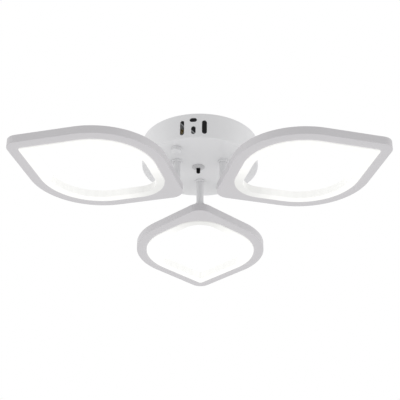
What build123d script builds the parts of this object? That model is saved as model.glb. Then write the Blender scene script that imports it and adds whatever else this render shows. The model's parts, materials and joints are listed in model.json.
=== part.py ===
from build123d import *
import math
import os

os.makedirs("parts", exist_ok=True)

# Ceiling light with three leaf-shaped petals. Sizes are in millimetres.
# The origin is the middle of the ceiling plane, +Z points up and the rear petal lies along +Y.

# Canopy: a pressed steel drum, open towards the ceiling.
canopy_radius = 80
canopy_depth = 37
shell_thickness = 1
shell_edge_radius = 2

# Vent slots in the front wall: bearing from the front, middle height, height and width.
vent_slots = [
    (-17.3, -20.6, 22.8, 5.9),
    (-6.4, -9.7, 6.4, 9.9),
    (-6.2, -25.7, 12.5, 6.1),
    (4.4, -20.9, 21.4, 6.7),
]

# Stems: where they stand, and how far the petals hang below the ceiling.
petal_bearings = {"rear": 90, "left": 210, "right": 330}
stem_circle_radius = 36.5
petal_drop = 88
tube_radius = 5
tube_wall = 0.85
rod_radius = 3.95
rod_bore_radius = 2.75
rod_above_nut = 2.8
flange_radius = 7
flange_height = 2.5
flange_edge_radius = 0.8
collar_radius = 6.75
collar_height = 3
collar_groove = 0.5
washer_radius = 8
washer_thickness = 1.2
stem_nut_flats = 13
stem_nut_height = 4
friction_washer_thickness = 0.8
ring_nut_radius = 5.8
ring_nut_height = 3
ring_nut_slot = 1.5
rod_below_nut = 0.2

# Petal: a circle with a rounded tangent corner at the root and at the tip, seen from above.
petal_corner_behind = 14.8
petal_radius = 93.3
petal_height = 11.2
petal_root_radius = 18.2
petal_tip_radius = 15.7
petal_wall = 1.2
petal_edge_radius = 0.8
face_width = 14.5
face_root_radius = 42.4
face_tip_radius = 4.2

# Milky acrylic ring: its rim lies on the petal's lower face and its middle stands out below it.
acrylic_channel = 3
acrylic_showing = 11.9
acrylic_thickness = 8
acrylic_proud = 1.2
acrylic_root_radius = 49
acrylic_hole_root_radius = 28
acrylic_hole_tip_radius = 3

# Root bracket, top cover and their screws.
bracket_thickness = 1.6
bracket_reach = 10.5
cover_thickness = 0.8
cover_lip = 1
post_radius = 2.5
post_bearings = [50, 90, 130]
bracket_screw_place = (6, 9.5)
screw_radius = 1.25
screw_length = 6
screw_head_radius = 2.3
screw_head_height = 1.4

# Strip of light-emitting diodes on the inside of the petal's wall.
strip_thickness = 0.4
strip_width = 6
strip_height_above_face = 1
strip_start = 14
chip_length = 3.5
chip_width = 2.8
chip_depth = 0.8
root_line_chips = 3
arc_chips = 9
tip_line_chips = 5
chip_pitch = 16.7

# Ceiling bar: a steel strip with both ends joggled down to carry the studs.
bar_bearing = 59.3
bar_width = 20
bar_thickness = 1.5
bar_flat_half_length = 40
bar_half_length = 68
bar_joggle_run = 5
bar_joggle_drop = 4.5
ceiling_hole_radius = 2.5
ceiling_hole_circle_radius = 30
cable_hole_radius = 6

# Studs, lock nuts and dome nuts that hold the canopy up.
stud_circle_radius = 61.7
stud_radius = 2
stud_head_radius = 3.8
stud_head_height = 2.4
stud_beyond_canopy = 5.5
lock_nut_flats = 7
lock_nut_height = 3.2
dome_nut_radius = 6.3
dome_nut_skirt = 6
dome_nut_dome = 2

# Earth screw in the bar's joggled end.
earth_screw_before_stud = 9.7
earth_screw_radius = 2
earth_screw_length = 6
earth_head_radius = 3.6
earth_head_height = 2.5
earth_tag_thickness = 0.8
earth_tag_radius = 3.8
earth_tag_tail = 12
earth_tag_width = 4

# Driver: a plastic case on the canopy's floor, with its board inside.
driver_bearing = 150
driver_near = 28
driver_depth = 34
driver_length = 90
driver_height = 24
driver_wall = 1.5
lid_thickness = 1.5
lid_rim_height = 2
board_margin = 1
board_thickness = 1.6
board_post_height = 2.4
board_post_radius = 2
transformer_size = (20, 22, 14)
transformer_place = -16
capacitor_radius = 5
capacitor_height = 14
capacitor_places = [14, 28]
strap_width = 12
strap_thickness = 1
strap_foot = 7
lead_socket_depth = 0.7
lead_socket_side = 12
mains_socket_places = (12, 19)

# Terminal block on two pins of the canopy's floor.
terminal_place = (4, -50)
terminal_size = (16, 24, 12)
terminal_pole_pitch = 8
terminal_screw_spacing = 9
terminal_screw_radius = 1.6
terminal_screw_depth = 3
terminal_screw_proud = 0.6
terminal_pin_radius = 1.4
terminal_pin_height = 8
terminal_pin_pitch = 8

# Remote receiver near the middle of the canopy.
receiver_place = (-2.3, -2.3)
bezel_radius = 8.6
bezel_height = 3
bezel_mouth_radius = 4
bezel_neck_radius = 4.9
bezel_neck_height = 3
eye_radius = 2.65
eye_below_bezel = 7
receiver_board_radius = 8
receiver_board_thickness = 1.6

# Leads.
stem_lead_diameter = 2
mains_lead_diameter = 2.2
stem_lead_rise = 8.5
receiver_lead_drop = 6
mains_lead_height = 7
mains_lead_near_turns = [(-28, -35.5), (-47, -35)]
mains_lead_far_turns = [(-27, -44), (-47, -44.5), (-63, -36)]
lead_straight = 8
earth_lead_first_run = 5
earth_lead_turn = (-15, -58.5, -19)
petal_lead_turn = (8, 11)
petal_lead_last_run = 2

# Clearances between pieces that fit together.
running_clearance = 0.05
hole_clearance = 0.2
loose_clearance = 0.6
cover_clearance = 0.15

# Places worked out from the sizes above.
petal_centre = petal_radius * math.sqrt(2) - petal_corner_behind
earth_screw_circle_radius = stud_circle_radius - earth_screw_before_stud

# Heights worked out from the sizes above.
canopy_floor = -canopy_depth + shell_thickness
petal_bottom = -petal_drop
petal_top = petal_bottom + petal_height
face_top = petal_bottom + petal_wall
cover_bottom = petal_top - cover_thickness
bracket_bottom = cover_bottom - bracket_thickness
acrylic_top = face_top + acrylic_thickness
acrylic_bottom = petal_bottom - acrylic_proud
friction_bottom = bracket_bottom - friction_washer_thickness
ring_nut_bottom = friction_bottom - ring_nut_height
rod_bottom = ring_nut_bottom - rod_below_nut
stem_washer_top = canopy_floor + washer_thickness
stem_nut_top = stem_washer_top + stem_nut_height
rod_top = stem_nut_top + rod_above_nut
bar_end_bottom = -bar_joggle_drop - bar_thickness
driver_top = canopy_floor + driver_height
acrylic_outer_inset = petal_wall + acrylic_channel
acrylic_inner_inset = face_width + acrylic_showing
post_inset = (acrylic_outer_inset + face_width) / 2
post_hole_radius = post_radius + hole_clearance


# Frames of reference.
def turned(radius, bearing, height=0):
    """Point at a radius and bearing from the middle of the light."""
    angle = math.radians(bearing)
    return (radius * math.cos(angle), radius * math.sin(angle), height)


def petal_plane(bearing, height):
    """Level plane on a stem's axis, with x along the petal."""
    middle = turned(stem_circle_radius, bearing, height)
    return Plane(origin=middle, x_dir=turned(1, bearing), z_dir=(0, 0, 1))


def radial_plane(bearing, height):
    """Level plane on the light's axis, with x along a bearing."""
    return Plane(origin=(0, 0, height), x_dir=turned(1, bearing), z_dir=(0, 0, 1))


# Outlines of the petal, drawn in the petal's own plane.
def leaf(inset, root_radius, tip_radius, mode=Mode.ADD):
    """Circle with tangent lines at 45 degrees that meet in a rounded root and a rounded tip."""
    radius = petal_radius - inset
    with BuildSketch(mode=Mode.PRIVATE) as outline:
        with Locations((petal_centre, 0)):
            Rectangle(2 * radius, 2 * radius, rotation=45)
        fillet(outline.vertices().sort_by(Axis.X)[1:3], radius)
        fillet(outline.vertices().sort_by(Axis.X)[-1], tip_radius)
        fillet(outline.vertices().sort_by(Axis.X)[0], root_radius)
    add(outline.sketch_local, mode=mode)


def petal_outline(inset, mode=Mode.ADD):
    """The petal's outer outline, drawn inwards by an inset."""
    leaf(inset, petal_root_radius - inset, petal_tip_radius - inset, mode)


def face_opening(inset, mode=Mode.ADD):
    """Inner edge of the petal's metal face, drawn outwards as the inset falls below the face's width."""
    leaf(inset, face_root_radius + face_width - inset, face_tip_radius + face_width - inset, mode)


def acrylic_hole():
    """Cut the hole in the middle of the acrylic ring."""
    leaf(acrylic_inner_inset, acrylic_hole_root_radius, acrylic_hole_tip_radius, mode=Mode.SUBTRACT)


def root_side(reach, mode):
    """Everything on the root's side of a line across the petal."""
    with Locations((reach, 0)):
        Rectangle(2 * petal_radius, 2 * petal_radius, align=(Align.MAX, Align.CENTER), mode=mode)


def post_places():
    """Middles of the screw posts: along both side arcs and one at the tip."""
    radius = petal_radius - post_inset
    places = [(petal_centre + radius * math.sqrt(2), 0)]
    for bearing in post_bearings + [-bearing for bearing in post_bearings]:
        angle = math.radians(bearing)
        places.append((petal_centre + radius * math.cos(angle), radius * math.sin(angle)))
    return places


def bracket_screw_places():
    """Middles of the two cover screws that go into the root bracket."""
    along, across = bracket_screw_place
    return [(along, across), (along, -across)]


def chip_locations():
    """Middles and directions of the diodes along both sides of the petal, from the root to the tip."""
    radius = petal_radius - petal_wall - strip_thickness - chip_depth / 2
    corner = radius * math.sqrt(0.5)
    places = []
    for side in (1, -1):
        for step in range(root_line_chips):
            back = (step + 0.5) * chip_pitch * math.sqrt(0.5)
            places.append(Location((petal_centre - corner - back, side * (corner - back), 0), side * 45))
        for step in range(arc_chips):
            bearing = 45 + (step + 0.5) * 90 / arc_chips
            angle = math.radians(bearing)
            centre = (petal_centre + radius * math.cos(angle), side * radius * math.sin(angle), 0)
            places.append(Location(centre, side * (bearing + 90)))
        for step in range(tip_line_chips):
            ahead = (step + 0.5) * chip_pitch * math.sqrt(0.5)
            places.append(Location((petal_centre + corner + ahead, side * (corner - ahead), 0), -side * 45))
    return places


# Leads: straight runs joined by tangent arcs.
def bend_radii(route):
    """Bend radius at each inner point of a route, as large as its two runs allow."""
    points = [Vector(*point) for point in route]
    radii = []
    for before, here, after in zip(points, points[1:], points[2:]):
        turn = math.radians((here - before).get_angle(after - here))
        shorter = min((here - before).length, (after - here).length)
        radii.append(0.45 * shorter / math.tan(turn / 2))
    return radii


def add_lead(route, diameter):
    """Round lead along a route, added to the part being made."""
    with BuildLine() as path:
        FilletPolyline(*route, radius=bend_radii(route))
    with BuildSketch(Plane(origin=path.line @ 0, z_dir=path.line % 0)) as section:
        Circle(diameter / 2)
    sweep(section.sketch, path=path.line)
    radii = ", ".join(f"{radius:.1f}" for radius in bend_radii(route))
    print(f"lead {path.wire().length:.1f} mm long, {diameter} mm thick, bend radii {radii}")


def finish(part, name):
    """Label a finished piece and write it out."""
    part.label = name
    export_step(part, f"parts/{name}.step")


# Canopy shell: drum, vents, holes for stems, studs and receiver, and the terminal block's pins.
with BuildPart() as canopy_shell:
    with BuildSketch():
        Circle(canopy_radius)
    extrude(amount=-canopy_depth)
    fillet(canopy_shell.edges().sort_by(Axis.Z)[0], shell_edge_radius)
    with BuildSketch():
        Circle(canopy_radius - shell_thickness)
    hollow = extrude(amount=canopy_floor, mode=Mode.PRIVATE)
    hollow = hollow.fillet(shell_edge_radius - shell_thickness, hollow.edges().sort_by(Axis.Z)[:1])
    add(hollow, mode=Mode.SUBTRACT)
    for bearing in petal_bearings.values():
        with BuildSketch(petal_plane(bearing, canopy_floor)):
            Circle(rod_radius + hole_clearance)
        extrude(amount=-shell_thickness, mode=Mode.SUBTRACT)
    with BuildSketch(radial_plane(bar_bearing, canopy_floor)):
        with PolarLocations(stud_circle_radius, 2):
            Circle(stud_radius + hole_clearance)
    extrude(amount=-shell_thickness, mode=Mode.SUBTRACT)
    with BuildSketch(Plane.XY.offset(canopy_floor)):
        with Locations(receiver_place):
            Circle(bezel_neck_radius + hole_clearance / 2)
    extrude(amount=-shell_thickness, mode=Mode.SUBTRACT)
    for bearing, height, slot_height, slot_width in vent_slots:
        outward = turned(1, bearing - 90)
        wall_point = turned(canopy_radius + shell_thickness, bearing - 90, height)
        with BuildSketch(Plane(origin=wall_point, x_dir=turned(1, bearing), z_dir=outward)):
            if slot_height > slot_width:
                SlotOverall(slot_height, slot_width, rotation=90)
            else:
                SlotOverall(slot_width, slot_height)
        extrude(amount=-4 * shell_thickness, mode=Mode.SUBTRACT)
    with BuildSketch(Plane.XY.offset(canopy_floor)):
        with Locations(terminal_place):
            with GridLocations(0, terminal_pin_pitch, 1, 2):
                Circle(terminal_pin_radius)
    extrude(amount=terminal_pin_height)
finish(canopy_shell.part, "canopy_shell")

# Ceiling bar: the strip's side view carried across its width, then its holes.
with BuildPart() as mounting_bar:
    bar_side = Plane(origin=(0, 0, 0), x_dir=turned(1, bar_bearing), z_dir=turned(1, bar_bearing - 90))
    joggle_end = bar_flat_half_length + bar_joggle_run
    underside_shift = bar_thickness / 2
    with BuildSketch(bar_side):
        with BuildLine():
            Polyline(
                (-bar_half_length, -bar_joggle_drop),
                (-joggle_end, -bar_joggle_drop),
                (-bar_flat_half_length, 0),
                (bar_flat_half_length, 0),
                (joggle_end, -bar_joggle_drop),
                (bar_half_length, -bar_joggle_drop),
                (bar_half_length, bar_end_bottom),
                (joggle_end - underside_shift, bar_end_bottom),
                (bar_flat_half_length - underside_shift, -bar_thickness),
                (-bar_flat_half_length + underside_shift, -bar_thickness),
                (-joggle_end + underside_shift, bar_end_bottom),
                (-bar_half_length, bar_end_bottom),
                close=True,
            )
        make_face()
    extrude(amount=bar_width / 2, both=True)
    with BuildSketch(radial_plane(bar_bearing, 0)):
        with PolarLocations(ceiling_hole_circle_radius, 2):
            Circle(ceiling_hole_radius)
        with PolarLocations(stud_circle_radius, 2):
            Circle(stud_radius + running_clearance)
        with Locations((-earth_screw_circle_radius, 0)):
            Circle(earth_screw_radius + running_clearance)
        Circle(cable_hole_radius)
    extrude(amount=bar_end_bottom, mode=Mode.SUBTRACT)
finish(mounting_bar.part, "mounting_bar")

# Studs: machine screws with their heads on the bar's ends, pointing down through the canopy.
with BuildPart() as canopy_studs:
    with BuildSketch(radial_plane(bar_bearing, -bar_joggle_drop)):
        with PolarLocations(stud_circle_radius, 2):
            Circle(stud_head_radius)
    extrude(amount=stud_head_height)
    fillet(canopy_studs.edges().group_by(Axis.Z)[-1], stud_head_height / 3)
    with BuildSketch(radial_plane(bar_bearing, -bar_joggle_drop)):
        with PolarLocations(stud_circle_radius, 2):
            Circle(stud_radius)
    extrude(amount=bar_joggle_drop - canopy_depth - stud_beyond_canopy)
    chamfer(canopy_studs.edges().group_by(Axis.Z)[0], stud_radius / 4)
finish(canopy_studs.part, "canopy_studs")

with BuildPart() as stud_lock_nuts:
    with BuildSketch(radial_plane(bar_bearing, bar_end_bottom)):
        with PolarLocations(stud_circle_radius, 2):
            RegularPolygon(lock_nut_flats / 2, 6, major_radius=False)
            Circle(stud_radius + running_clearance, mode=Mode.SUBTRACT)
    extrude(amount=-lock_nut_height)
finish(stud_lock_nuts.part, "stud_lock_nuts")

# Dome nuts: a round skirt closed by a dome, with a blind bore for the stud.
with BuildPart() as dome_nuts:
    for bearing in (bar_bearing, bar_bearing + 180):
        stud_axis = Plane(
            origin=turned(stud_circle_radius, bearing, -canopy_depth),
            x_dir=turned(1, bearing),
            z_dir=turned(1, bearing - 90),
        )
        with BuildSketch(stud_axis):
            with BuildLine():
                Polyline(
                    (stud_radius + running_clearance, 0),
                    (dome_nut_radius, 0),
                    (dome_nut_radius, -dome_nut_skirt),
                )
                RadiusArc(
                    (dome_nut_radius, -dome_nut_skirt),
                    (0, -dome_nut_skirt - dome_nut_dome),
                    (dome_nut_radius**2 + dome_nut_dome**2) / (2 * dome_nut_dome),
                )
                Polyline(
                    (0, -dome_nut_skirt - dome_nut_dome),
                    (0, -stud_beyond_canopy - running_clearance),
                    (stud_radius + running_clearance, -stud_beyond_canopy - running_clearance),
                    (stud_radius + running_clearance, 0),
                )
            make_face()
        revolve(axis=Axis(turned(stud_circle_radius, bearing), (0, 0, 1)))
finish(dome_nuts.part, "dome_nuts")

# Earth screw, with its head under the bar's joggled end and the lead's tag between them.
earth_point = turned(-earth_screw_circle_radius, bar_bearing)
with BuildPart() as earth_screw:
    with BuildSketch(Plane.XY.offset(bar_end_bottom - earth_tag_thickness - earth_head_height)):
        with Locations(earth_point[:2]):
            Circle(earth_head_radius)
    extrude(amount=earth_head_height)
    fillet(earth_screw.edges().group_by(Axis.Z)[0], earth_head_height / 3)
    with BuildSketch(Plane.XY.offset(bar_end_bottom - earth_tag_thickness)):
        with Locations(earth_point[:2]):
            Circle(earth_screw_radius)
    extrude(amount=earth_screw_length - earth_head_height)
finish(earth_screw.part, "earth_screw")


# Driver. Its own plane has x away from the light's axis and y along its length.
def driver_plane(height):
    """Level plane under the middle of the driver."""
    middle = turned(driver_near + driver_depth / 2, driver_bearing, height)
    return Plane(origin=middle, x_dir=turned(1, driver_bearing), z_dir=(0, 0, 1))


def driver_point(away, along, height):
    """Point given by its distance from the light's axis and its place along the driver."""
    x, y, _ = turned(away, driver_bearing)
    dx, dy, _ = turned(along, driver_bearing + 90)
    return (x + dx, y + dy, height)


case_top = driver_top - lid_thickness
case_floor = canopy_floor + driver_wall
board_bottom = case_floor + board_post_height
board_top = board_bottom + board_thickness
inner_depth = driver_depth - 2 * driver_wall
inner_length = driver_length - 2 * driver_wall
stem_lead_height = rod_top + stem_lead_rise
receiver_lead_height = canopy_floor + bezel_neck_height + receiver_board_thickness + receiver_lead_drop
mains_height = canopy_floor + mains_lead_height
stem_beside_driver = stem_circle_radius * math.sin(math.radians(60))
rear_socket = driver_point(driver_near, -stem_beside_driver, stem_lead_height)
left_socket = driver_point(driver_near, stem_beside_driver, stem_lead_height)
right_socket = driver_point(driver_near, lead_socket_side, stem_lead_height)
receiver_socket = driver_point(driver_near, -lead_socket_side, receiver_lead_height)
mains_sockets = [
    driver_point(driver_near + place, driver_length / 2, mains_height) for place in mains_socket_places
]


def lead_sockets(places, bearing, diameter):
    """Blind recesses in the driver's case, facing a bearing, that the leads end in."""
    for place in places:
        with BuildSketch(Plane(origin=place, z_dir=turned(1, bearing))) as recess:
            Circle(diameter / 2 + running_clearance)
        extrude(recess.sketch, amount=-lead_socket_depth, mode=Mode.SUBTRACT)


def seated(place, bearing):
    """Bottom of a lead's recess."""
    return tuple(Vector(*place) - lead_socket_depth * Vector(*turned(1, bearing)))


def straight_end(place, bearing):
    """Last stretch of a lead: it runs square to its recess and ends at the bottom."""
    return [tuple(Vector(*place) + lead_straight * Vector(*turned(1, bearing))), seated(place, bearing)]


def straight_start(place, bearing):
    """First stretch of a lead that leaves its recess square."""
    return straight_end(place, bearing)[::-1]


with BuildPart() as driver_case:
    with BuildSketch(driver_plane(canopy_floor)):
        RectangleRounded(driver_depth, driver_length, driver_wall)
    extrude(amount=case_top - canopy_floor)
    with BuildSketch(driver_plane(case_floor)):
        Rectangle(inner_depth, inner_length)
    extrude(amount=case_top - case_floor, mode=Mode.SUBTRACT)
    with BuildSketch(driver_plane(case_floor)):
        with GridLocations(inner_depth - 4 * board_post_radius, inner_length - 4 * board_post_radius, 2, 2):
            Circle(board_post_radius)
    extrude(amount=board_post_height)
    low_voltage_sockets = [rear_socket, left_socket, right_socket, receiver_socket]
    lead_sockets(low_voltage_sockets, driver_bearing + 180, stem_lead_diameter)
    lead_sockets(mains_sockets, driver_bearing + 90, mains_lead_diameter)
finish(driver_case.part, "driver_case")

with BuildPart() as driver_lid:
    with BuildSketch(driver_plane(case_top)):
        RectangleRounded(driver_depth, driver_length, driver_wall)
    extrude(amount=lid_thickness)
    with BuildSketch(driver_plane(case_top)):
        rim_depth = inner_depth - hole_clearance
        rim_length = inner_length - hole_clearance
        Rectangle(rim_depth, rim_length)
        Rectangle(rim_depth - 2 * lid_thickness, rim_length - 2 * lid_thickness, mode=Mode.SUBTRACT)
    extrude(amount=-lid_rim_height)
finish(driver_lid.part, "driver_lid")

with BuildPart() as driver_board:
    with BuildSketch(driver_plane(board_bottom)):
        Rectangle(inner_depth - 2 * board_margin, inner_length - 2 * board_margin)
    extrude(amount=board_thickness)
finish(driver_board.part, "driver_board")

with BuildPart() as driver_transformer:
    core_depth, core_length, core_height = transformer_size
    with BuildSketch(driver_plane(board_top)):
        with Locations((0, transformer_place)):
            Rectangle(core_depth, core_length)
    extrude(amount=core_height)
    chamfer(driver_transformer.edges().filter_by(Axis.Z), core_depth / 10)
finish(driver_transformer.part, "driver_transformer")

with BuildPart() as driver_capacitors:
    with BuildSketch(driver_plane(board_top)):
        with Locations(*[(0, place) for place in capacitor_places]):
            Circle(capacitor_radius)
    extrude(amount=capacitor_height)
    chamfer(driver_capacitors.edges().group_by(Axis.Z)[-1], capacitor_radius / 8)
finish(driver_capacitors.part, "driver_capacitors")

# Strap over the driver, with both feet welded to the canopy's floor.
with BuildPart() as driver_strap:
    strap_side = Plane(
        origin=driver_point(driver_near + driver_depth / 2, 0, canopy_floor),
        x_dir=turned(1, driver_bearing),
        z_dir=turned(1, driver_bearing - 90),
    )
    with BuildSketch(strap_side):
        strap_width_outside = driver_depth + 2 * strap_thickness
        on_the_floor = (Align.CENTER, Align.MIN)
        Rectangle(strap_width_outside, driver_height + strap_thickness, align=on_the_floor)
        Rectangle(strap_width_outside + 2 * strap_foot, strap_thickness, align=on_the_floor)
        Rectangle(driver_depth, driver_height, align=on_the_floor, mode=Mode.SUBTRACT)
    extrude(amount=strap_width / 2, both=True)
finish(driver_strap.part, "driver_strap")

# Terminal block with a row of three poles and two clamping screws at each pole.
terminal_width, terminal_length, terminal_height = terminal_size
terminal_top = canopy_floor + terminal_height
pole_places = [terminal_place[1] + (step - 1) * terminal_pole_pitch for step in range(3)]
terminal_left = terminal_place[0] - terminal_width / 2
terminal_sockets = [(terminal_left, place, mains_height) for place in pole_places]
with BuildPart() as terminal_block:
    with BuildSketch(Plane.XY.offset(canopy_floor)):
        with Locations(terminal_place):
            Rectangle(terminal_width, terminal_length)
            with GridLocations(0, terminal_pin_pitch, 1, 2):
                Circle(terminal_pin_radius + hole_clearance / 2, mode=Mode.SUBTRACT)
    extrude(amount=terminal_height)
    with BuildSketch(Plane.XY.offset(terminal_top)):
        with Locations(terminal_place):
            with GridLocations(terminal_screw_spacing, terminal_pole_pitch, 2, 3):
                Circle(terminal_screw_radius + running_clearance)
    extrude(amount=-terminal_screw_depth, mode=Mode.SUBTRACT)
    lead_sockets(terminal_sockets, 180, mains_lead_diameter)
finish(terminal_block.part, "terminal_block")

with BuildPart() as terminal_screws:
    with BuildSketch(Plane.XY.offset(terminal_top - terminal_screw_depth)):
        with Locations(terminal_place):
            with GridLocations(terminal_screw_spacing, terminal_pole_pitch, 2, 3):
                Circle(terminal_screw_radius)
    extrude(amount=terminal_screw_depth + terminal_screw_proud)
    with BuildSketch(Plane.XY.offset(terminal_top + terminal_screw_proud)):
        with Locations(terminal_place):
            with GridLocations(terminal_screw_spacing, terminal_pole_pitch, 2, 3):
                Rectangle(2 * terminal_screw_radius, terminal_screw_radius / 3)
    extrude(amount=-terminal_screw_proud, mode=Mode.SUBTRACT)
finish(terminal_screws.part, "terminal_screws")

# Remote receiver: cone-shaped bezel, dark eye and the board above them.
bezel_top = canopy_floor + bezel_neck_height
receiver_middle = (*receiver_place, 0)
with BuildPart() as receiver_bezel:
    with BuildSketch(Plane(origin=receiver_middle, x_dir=(1, 0, 0), z_dir=(0, -1, 0))):
        with BuildLine():
            Polyline(
                (eye_radius + hole_clearance, bezel_top),
                (bezel_neck_radius, bezel_top),
                (bezel_neck_radius, -canopy_depth),
                (bezel_radius, -canopy_depth),
                (bezel_radius, -canopy_depth - bezel_height / 4),
                (bezel_mouth_radius, -canopy_depth - bezel_height),
                (eye_radius + hole_clearance, -canopy_depth - bezel_height),
                close=True,
            )
        make_face()
    revolve(axis=Axis(receiver_middle, (0, 0, 1)))
finish(receiver_bezel.part, "receiver_bezel")

with BuildPart() as receiver_eye:
    eye_length = bezel_top + canopy_depth + bezel_height + eye_below_bezel
    with BuildSketch(Plane.XY.offset(bezel_top)):
        with Locations(receiver_place):
            Circle(eye_radius)
    extrude(amount=-eye_length)
    fillet(receiver_eye.edges().sort_by(Axis.Z)[0], eye_radius * 0.98)
finish(receiver_eye.part, "receiver_eye")

with BuildPart() as receiver_board:
    with BuildSketch(Plane.XY.offset(bezel_top)):
        with Locations(receiver_place):
            Circle(receiver_board_radius)
    extrude(amount=receiver_board_thickness)
finish(receiver_board.part, "receiver_board")

# Leads inside the canopy. Each ends face to face with what it serves.
receiver_board_top = bezel_top + receiver_board_thickness
with BuildPart() as receiver_lead:
    receiver_route = [
        (*receiver_place, receiver_board_top),
        (*receiver_place, receiver_lead_height),
        *straight_end(receiver_socket, driver_bearing + 180),
    ]
    add_lead(receiver_route, stem_lead_diameter)
finish(receiver_lead.part, "receiver_lead")

# The rear and left stems stand beside the driver, so their leads need no turn on the way.
stem_lead_ends = {
    "rear": [seated(rear_socket, driver_bearing + 180)],
    "left": [seated(left_socket, driver_bearing + 180)],
    "right": straight_end(right_socket, driver_bearing + 180),
}
for side, bearing in petal_bearings.items():
    with BuildPart() as stem_lead:
        stem_route = [
            turned(stem_circle_radius, bearing, rod_top),
            turned(stem_circle_radius, bearing, stem_lead_height),
            *stem_lead_ends[side],
        ]
        add_lead(stem_route, stem_lead_diameter)
    finish(stem_lead.part, f"stem_lead_{side}")

# The two mains leads pass between the left stem and the front stud.
with BuildPart() as mains_leads:
    both_turns = (mains_lead_near_turns, mains_lead_far_turns)
    for turns, start, end in zip(both_turns, terminal_sockets[2:0:-1], mains_sockets):
        middle = [(x, y, mains_height) for x, y in turns]
        route = straight_start(start, 180) + middle + straight_end(end, driver_bearing + 90)
        add_lead(route, mains_lead_diameter)
finish(mains_leads.part, "mains_leads")

# Earth lead with the ring tag that the earth screw clamps against the bar.
tag_plane = Plane(
    origin=(earth_point[0], earth_point[1], bar_end_bottom - earth_tag_thickness),
    x_dir=turned(1, bar_bearing - 90),
    z_dir=(0, 0, 1),
)
tag_height = bar_end_bottom - mains_lead_diameter / 2
with BuildPart() as earth_lead:
    with BuildSketch(tag_plane):
        Circle(earth_tag_radius)
        Rectangle(earth_tag_tail, earth_tag_width, align=(Align.MIN, Align.CENTER))
        Circle(earth_screw_radius + running_clearance, mode=Mode.SUBTRACT)
    extrude(amount=earth_tag_thickness)
    tail_x, tail_y, _ = turned(earth_tag_tail - earth_tag_width / 2, bar_bearing - 90)
    bend_x, bend_y, _ = turned(earth_tag_tail + earth_lead_first_run, bar_bearing - 90)
    earth_route = [
        (earth_point[0] + tail_x, earth_point[1] + tail_y, tag_height),
        (earth_point[0] + bend_x, earth_point[1] + bend_y, tag_height),
        earth_lead_turn,
        *straight_end(terminal_sockets[0], 180),
    ]
    add_lead(earth_route, mains_lead_diameter)
finish(earth_lead.part, "earth_lead")

# Washers and nuts on the stems' rods, inside the canopy and inside the petals' roots.
with BuildPart() as stem_washers:
    for bearing in petal_bearings.values():
        with BuildSketch(petal_plane(bearing, canopy_floor)):
            Circle(washer_radius)
            Circle(rod_radius + running_clearance, mode=Mode.SUBTRACT)
        extrude(amount=washer_thickness)
finish(stem_washers.part, "stem_washers")

with BuildPart() as stem_nuts:
    for bearing in petal_bearings.values():
        with BuildSketch(petal_plane(bearing, stem_washer_top)):
            RegularPolygon(stem_nut_flats / 2, 6, major_radius=False)
            Circle(rod_radius + running_clearance, mode=Mode.SUBTRACT)
        extrude(amount=stem_nut_height)
finish(stem_nuts.part, "stem_nuts")

with BuildPart() as friction_washers:
    for bearing in petal_bearings.values():
        with BuildSketch(petal_plane(bearing, friction_bottom)):
            Circle(ring_nut_radius)
            Circle(rod_radius + running_clearance, mode=Mode.SUBTRACT)
        extrude(amount=friction_washer_thickness)
finish(friction_washers.part, "friction_washers")

with BuildPart() as ring_nuts:
    for bearing in petal_bearings.values():
        with BuildSketch(petal_plane(bearing, ring_nut_bottom)):
            Circle(ring_nut_radius)
            Circle(rod_radius + running_clearance, mode=Mode.SUBTRACT)
        extrude(amount=ring_nut_height)
        with BuildSketch(petal_plane(bearing, ring_nut_bottom)):
            Rectangle(2 * ring_nut_radius, ring_nut_slot)
        extrude(amount=ring_nut_height / 3, mode=Mode.SUBTRACT)
finish(ring_nuts.part, "ring_nuts")

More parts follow.
